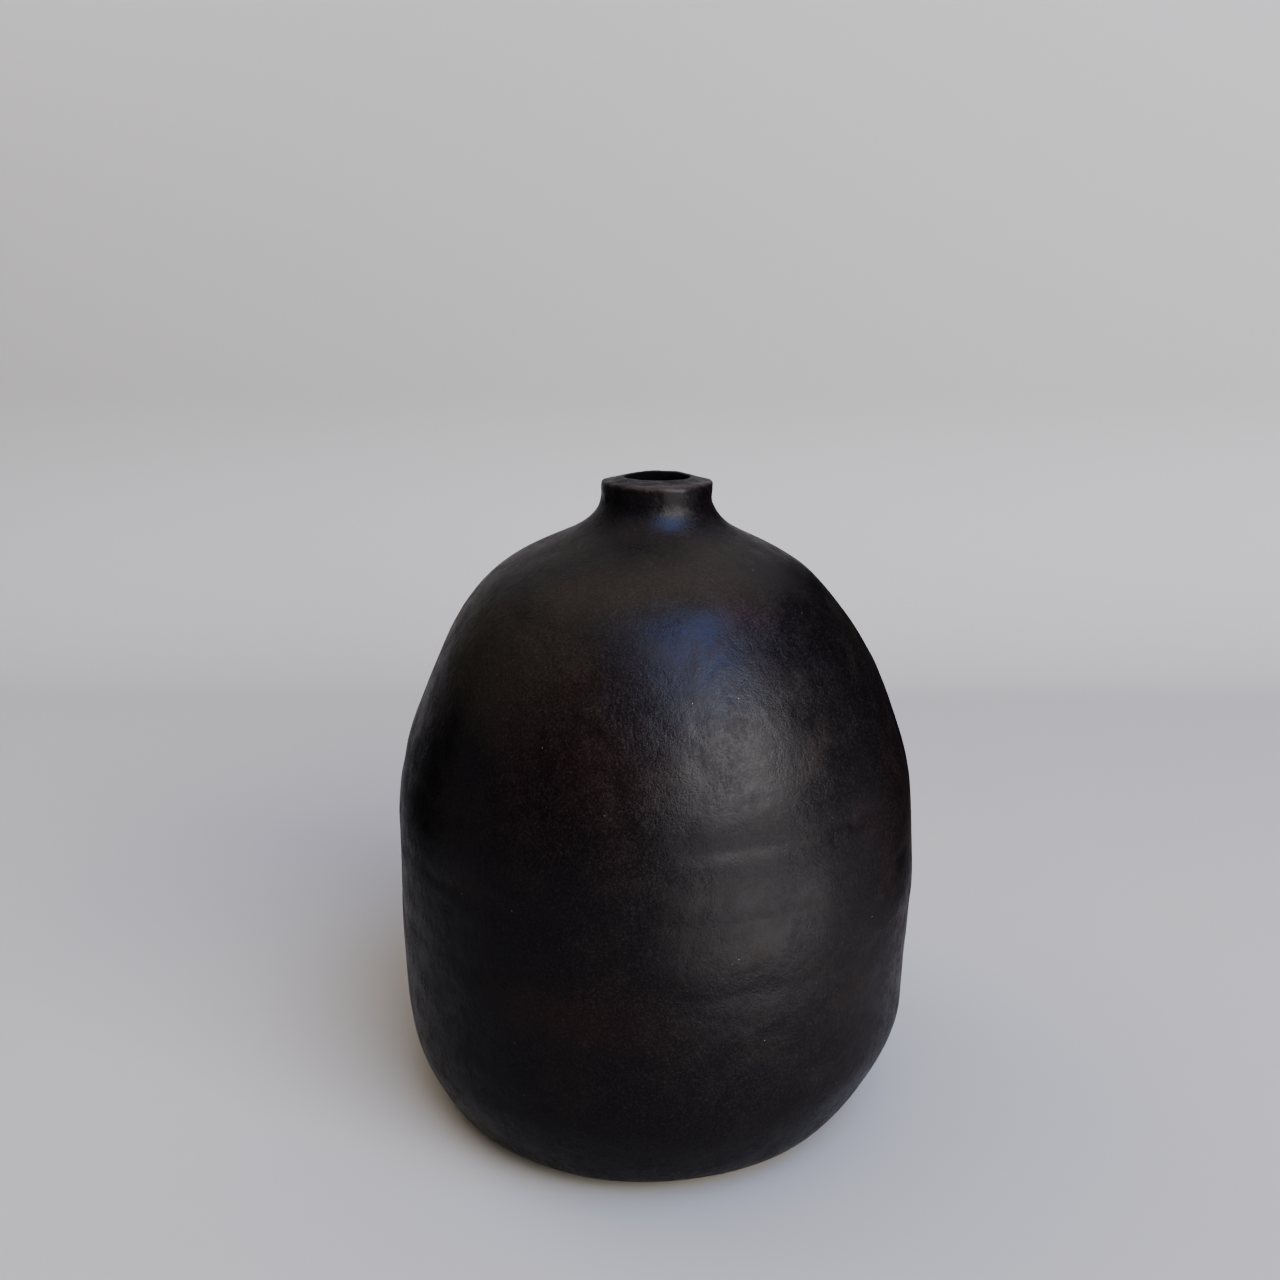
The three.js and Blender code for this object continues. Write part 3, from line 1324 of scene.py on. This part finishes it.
@dataclass(frozen=True)
class ScrapedEarthenware(Finish):
    """The same clay where the pebble can't reach: scraped, matt and dusty with soot.

    Attributes:
        soot, dust: colours.
        scrape_size, scrape_detail: size of the drags' noise, and how much finer it goes.
        scrape_flatness: how many times flatter a drag is than it is long.
        scrape_height: how far the drags stand out.
    """

    name: str = "scraped_smoke_fired_earthenware"
    soot: str = "#070606"
    dust: str = "#100d0c"
    scrape_size: float = 6.0
    scrape_detail: float = 5.0
    scrape_flatness: float = 4.0
    scrape_height: float = 0.3
    roughness: float = 0.85
    ior: float = 1.2

    def surface(self, tree: bpy.types.NodeTree) -> dict[str, Any]:
        """Near black, with the scraper's drags running round the jar.

        Args:
            tree: the material's node tree.

        Returns:
            The Principled shader's inputs.
        """
        place = add_node(tree, "ShaderNodeTexCoord").outputs["Object"]
        flatter = (1.0, 1.0, self.scrape_flatness)
        drags = add_node(tree, "ShaderNodeMapping", {"Vector": place, "Scale": flatter})
        scrapes = add_node(
            tree, "ShaderNodeTexNoise",
            {
                "Vector": drags.outputs["Vector"], "Scale": 1.0 / (self.scrape_size * MM),
                "Detail": self.scrape_detail,
            },
        ).outputs["Fac"]
        dusty = {0: scrapes, 6: linear(self.soot), 7: linear(self.dust)}
        relief = {"Height": scrapes, "Strength": 1.0, "Distance": self.scrape_height * MM}
        return {
            "Base Color": add_node(tree, "ShaderNodeMix", dusty, data_type="RGBA").outputs[2],
            "Roughness": self.roughness,
            "Normal": add_node(tree, "ShaderNodeBump", relief).outputs["Normal"],
            "IOR": self.ior,
        }


@dataclass(frozen=True)
class MattPaint(Finish):
    """Matt paint on the stage, which gives off no shine: pale on the plaster, black on the boards."""

    name: str = "matt_painted_plaster"
    paint: str = "#9b978f"
    roughness: float = 0.9

    def surface(self, tree: bpy.types.NodeTree) -> dict[str, Any]:
        """One plain colour."""
        return {"Base Color": linear(self.paint), "Roughness": self.roughness}


# ---------------------------------------------------------------- studio


def add_light(
    name: str, shape: LightShape, area: float, radiance: float, colour: Colour
) -> bpy.types.Object:
    """Adds an area light that the camera doesn't see, as bright as its radiance over its area.

    Args:
        name: the light's name.
        shape: the shape of its face.
        area: its face's area, in square metres.
        radiance: how bright its face is.
        colour: linear red, green and blue.

    Returns:
        The new object.
    """
    light = bpy.data.lights.new(name, "AREA")
    light.shape = shape.value
    light.energy = radiance * math.pi * area
    light.color = colour
    thing = add_object(name, light)
    thing.visible_camera = False
    return thing


@dataclass(frozen=True)
class SoftBox:
    """A soft rectangular light, placed round the jar and aimed at its middle.

    Attributes:
        name: the light's name.
        azimuth: in degrees from the front towards +X.
        elevation: in degrees above the ground.
        distance: from the jar's middle, in metres.
        width: in metres.
        height: in metres.
        radiance: how bright its face is.
        colour: linear red, green and blue.
        reflected: whether the jar mirrors it.
    """

    name: str
    azimuth: float
    elevation: float
    distance: float
    width: float
    height: float
    radiance: float
    colour: Colour
    reflected: bool = True

    def build(self, target: Vector) -> None:
        """Makes the light and aims it at a place.

        Args:
            target: the place, in metres.
        """
        area = self.width * self.height
        box = add_light(self.name, LightShape.RECTANGLE, area, self.radiance, self.colour)
        box.data.size, box.data.size_y = self.width, self.height
        turn, rise = math.radians(self.azimuth), math.radians(self.elevation)
        away = Vector((
            math.sin(turn) * math.cos(rise), -math.cos(turn) * math.cos(rise), math.sin(rise)
        ))
        box.visible_glossy = self.reflected
        box.location = target + away * self.distance
        box.rotation_mode = "QUATERNION"
        box.rotation_quaternion = away.to_track_quat("Z", "Y")


@dataclass(frozen=True)
class TableGlow:
    """Daylight lying on the table beside the jar, outside the camera's view.

    Attributes:
        x, y: its middle, in metres.
        size: how wide it is, in metres.
        radiance: how bright it is.
        colour: linear red, green and blue.
        lift: its height above the floor, in metres.
    """

    x: float
    y: float
    size: float
    radiance: float
    colour: Colour
    lift: float = 0.002

    def build(self, ground: float) -> None:
        """Makes the glow as a light that lies on the floor and shines up.

        Args:
            ground: the floor's height, in metres.
        """
        area = math.pi * (self.size / 2.0) ** 2
        glow = add_light("table_glow", LightShape.DISK, area, self.radiance, self.colour)
        glow.data.size = self.size
        glow.location = (self.x, self.y, ground + self.lift)
        glow.rotation_euler = (math.pi, 0.0, 0.0)


@dataclass(frozen=True)
class BlackFlag:
    """A matt black board beside the jar, which only the jar's reflections show, along one of its edges.

    Attributes:
        name: the board's name.
        x: where it stands, in metres.
        front, back: where it starts and ends in y, in metres.
        height: in metres.
        finish: its paint.
    """

    name: str
    x: float
    front: float
    back: float
    height: float
    finish: MattPaint = MattPaint("matt_black_board", "#0a0a0a", 1.0)

    def build(self, ground: float) -> bpy.types.Object:
        """Makes the board.

        Args:
            ground: the floor's height, in metres.

        Returns:
            The new object.
        """
        bm = bmesh.new()
        corners = ((self.front, 0.0), (self.back, 0.0), (self.back, self.height), (self.front, self.height))
        bm.faces.new([bm.verts.new((self.x, y, ground + z)) for y, z in corners])
        board = add_form(self.name, bm)
        board.data.materials.append(self.finish.make())
        board.visible_camera = False
        board.visible_shadow = False
        board.visible_diffuse = False
        return board


@dataclass
class Studio:
    """Pale floor that sweeps up behind, soft boxes, black boards and the camera.

    The floor's measures are in metres, the camera's and the lens's in millimetres, and angles in degrees.
    """

    floor_reach: float = 4.0
    sweep_start: float = 0.55
    sweep_radius: float = 0.25
    wall_height: float = 2.5
    sweep_steps: int = 24
    camera_distance: float = 541.0
    camera_height: float = 362.8
    pitch_down: float = 15.76
    yaw_left: float = 0.67
    lens: float = 36.08
    sensor: float = 36.0
    lights: tuple[SoftBox, ...] = (
        SoftBox("window", 38.0, 27.0, 3.4, 2.9, 1.6, 9.9, (1.0, 0.985, 0.97)),
        SoftBox("window_sill", 40.0, 6.5, 3.4, 2.9, 0.72, 5.5, (1.0, 0.985, 0.97)),
        SoftBox("window_sky", 37.0, 57.0, 3.4, 2.4, 1.9, 7.4, (0.24, 0.43, 1.0)),
        SoftBox("overhead", -30.0, 80.0, 2.0, 3.0, 2.6, 1.3, (1.0, 0.86, 0.72)),
        SoftBox("wall_wash", -115.0, 45.0, 1.3, 0.8, 0.6, 2.6, (0.97, 0.98, 1.0), False),
        SoftBox("room", -85.0, 12.0, 2.4, 1.6, 1.2, 0.34, (0.95, 0.97, 1.0)),
    )
    flags: tuple[BlackFlag, ...] = (
        BlackFlag("right_flag", 0.26, 0.0, 0.7, 0.42),
        BlackFlag("left_flag", -0.34, 0.0, 0.2, 0.34),
    )
    table_glow: TableGlow = TableGlow(0.35, -0.46, 0.58, 4.2, (1.0, 0.98, 0.97))
    air: Colour = (0.04, 0.04, 0.045)

    def build(self, box: tuple[Vector, Vector]) -> None:
        """Sets up everything round the jar.

        Args:
            box: the jar's lowest and highest corners, in metres.
        """
        middle = (box[0] + box[1]) / 2.0
        self.sweep(box[0].z)
        [flag.build(box[0].z) for flag in self.flags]
        for light in self.lights:
            light.build(middle)
            LOG.info("light %s", light.name)
        self.table_glow.build(box[0].z)
        self.world()
        self.camera()

    def sweep(self, ground: float) -> bpy.types.Object:
        """The floor, which curves up into a backdrop behind the jar.

        Args:
            ground: the floor's height, in metres.

        Returns:
            The new object.
        """
        bm = bmesh.new()
        start, radius = self.sweep_start, self.sweep_radius
        route = [(-self.floor_reach, 0.0), (start, 0.0)]
        for i in range(1, self.sweep_steps + 1):
            turn = math.pi / 2 * i / self.sweep_steps
            route.append((start + radius * math.sin(turn), radius * (1.0 - math.cos(turn))))
        route.append((start + radius, self.wall_height))
        verts = [bm.verts.new((-self.floor_reach, y, ground + z)) for y, z in route]
        edges = [bm.edges.new(pair) for pair in zip(verts, verts[1:])]
        swept = bmesh.ops.extrude_edge_only(bm, edges=edges)["geom"]
        moved = [item for item in swept if isinstance(item, bmesh.types.BMVert)]
        bmesh.ops.translate(bm, verts=moved, vec=(2.0 * self.floor_reach, 0.0, 0.0))
        bmesh.ops.recalc_face_normals(bm, faces=bm.faces[:])
        for facet in bm.faces:
            facet.smooth = True
        floor = add_form("pale_floor", bm)
        floor.data.materials.append(MattPaint().make())
        return floor

    def world(self) -> None:
        """Even dim light from everywhere."""
        world = bpy.data.worlds.new("studio_air")
        world.use_nodes = True
        world.node_tree.nodes["Background"].inputs["Color"].default_value = (*self.air, 1.0)
        bpy.context.scene.world = world

    def camera(self) -> None:
        """A phone's main lens, held a little above the jar and tipped down."""
        data = bpy.data.cameras.new("camera")
        data.sensor_width = self.sensor
        data.lens = self.lens
        camera = add_object("camera", data)
        camera.location = (0.0, -self.camera_distance * MM, self.camera_height * MM)
        camera.rotation_euler = (math.radians(90.0 - self.pitch_down), 0.0, math.radians(self.yaw_left))
        bpy.context.scene.camera = camera


def main() -> None:
    """Builds the jar, dresses it and sets up the studio."""
    logging.basicConfig(level=logging.INFO, format="%(message)s")
    jar = Jar()
    jar.build()
    jar.dress(BurnishedEarthenware().make(), ScrapedEarthenware().make())
    Studio().build(CAD_BOX)
    view = bpy.context.scene.view_settings
    view.view_transform = "AgX"
    view.look = "AgX - High Contrast"


if __name__ == "__main__":
    main()
